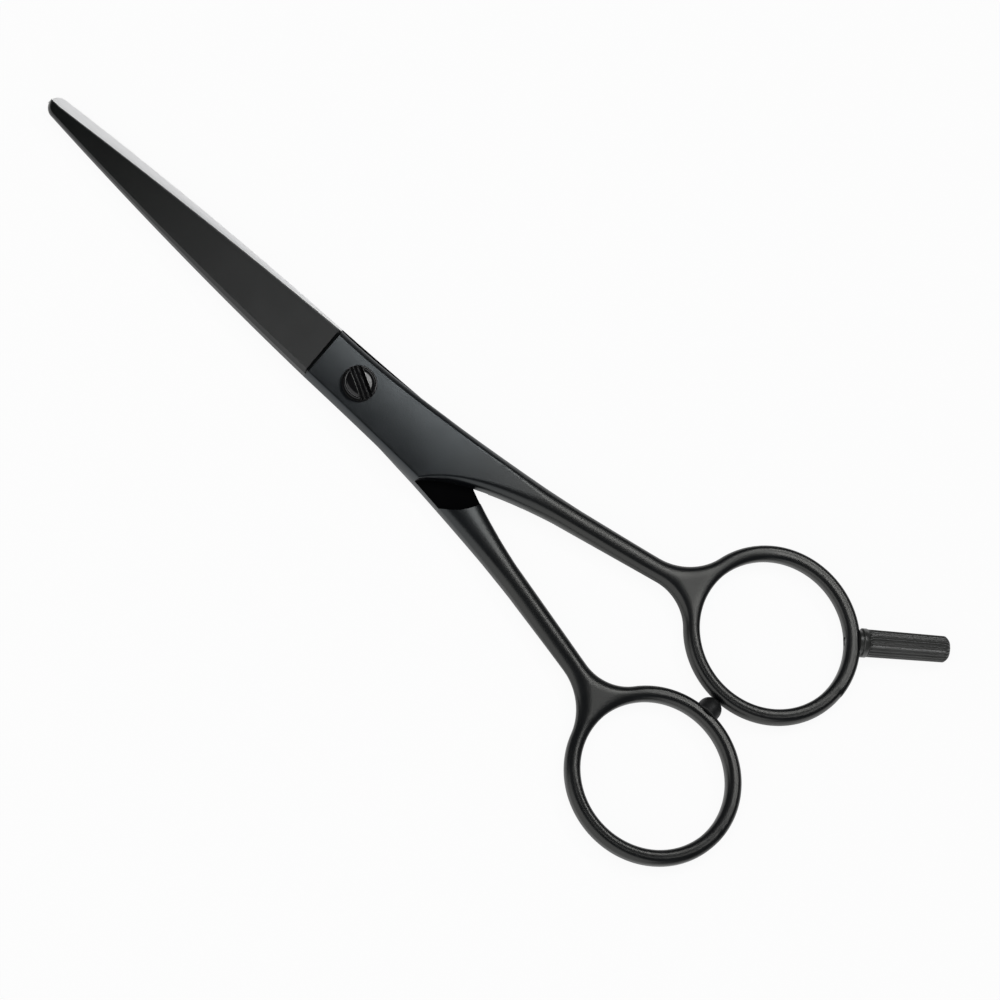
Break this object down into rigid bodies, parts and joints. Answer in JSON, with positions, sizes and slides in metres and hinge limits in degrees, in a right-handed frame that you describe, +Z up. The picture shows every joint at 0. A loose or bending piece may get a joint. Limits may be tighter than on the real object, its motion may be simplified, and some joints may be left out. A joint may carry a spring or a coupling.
{
  "type": "hair cutting shears",
  "caption": "Slim hair cutting shears in black-coated steel with round finger rings, a slotted tension screw, a rubber bumper and a fluted rest for the little finger.",
  "frame": {"origin": "where the pivot axis meets the plane of the thumb shank's back face, on which the closed shears lie", "axes": "+Z up along the pivot axis, towards the screw's head; +X from the pivot to the finger rings; +Y towards the finger ring; the blades point to -X"},
  "size_m": [0.147, 0.0591, 0.0056],
  "materials": {
    "coated_steel": "satin black hard coating",
    "blade_steel": "black-coated face, bright ground inner face",
    "rubber": "matte black",
    "bush_bronze": "plain bearing bronze",
    "washer_plastic": "black nylon",
    "screw_steel": "dark polished steel"
  },
  "bodies": {
    "thumb_half": {"thumb_handle": "coated_steel", "thumb_blade": "blade_steel", "bumper": "rubber"},
    "finger_half": {"finger_handle": "coated_steel", "finger_blade": "blade_steel", "finger_rest": "coated_steel", "pivot_bush": "bush_bronze", "friction_washer": "washer_plastic"},
    "tension_screw": {"pivot_screw": "screw_steel"}
  },
  "joints": [
    {"name": "blades_open", "type": "hinge", "parent": "thumb_half", "child": "finger_half", "pos_m": [0, 0, 0], "axis": [0, 0, 1], "range_deg": [0, 145]},
    {"name": "tension_adjust", "type": "hinge", "parent": "thumb_half", "child": "tension_screw", "pos_m": [0, 0, 0], "axis": [0, 0, 1], "range_deg": [-90, 90]}
  ]
}
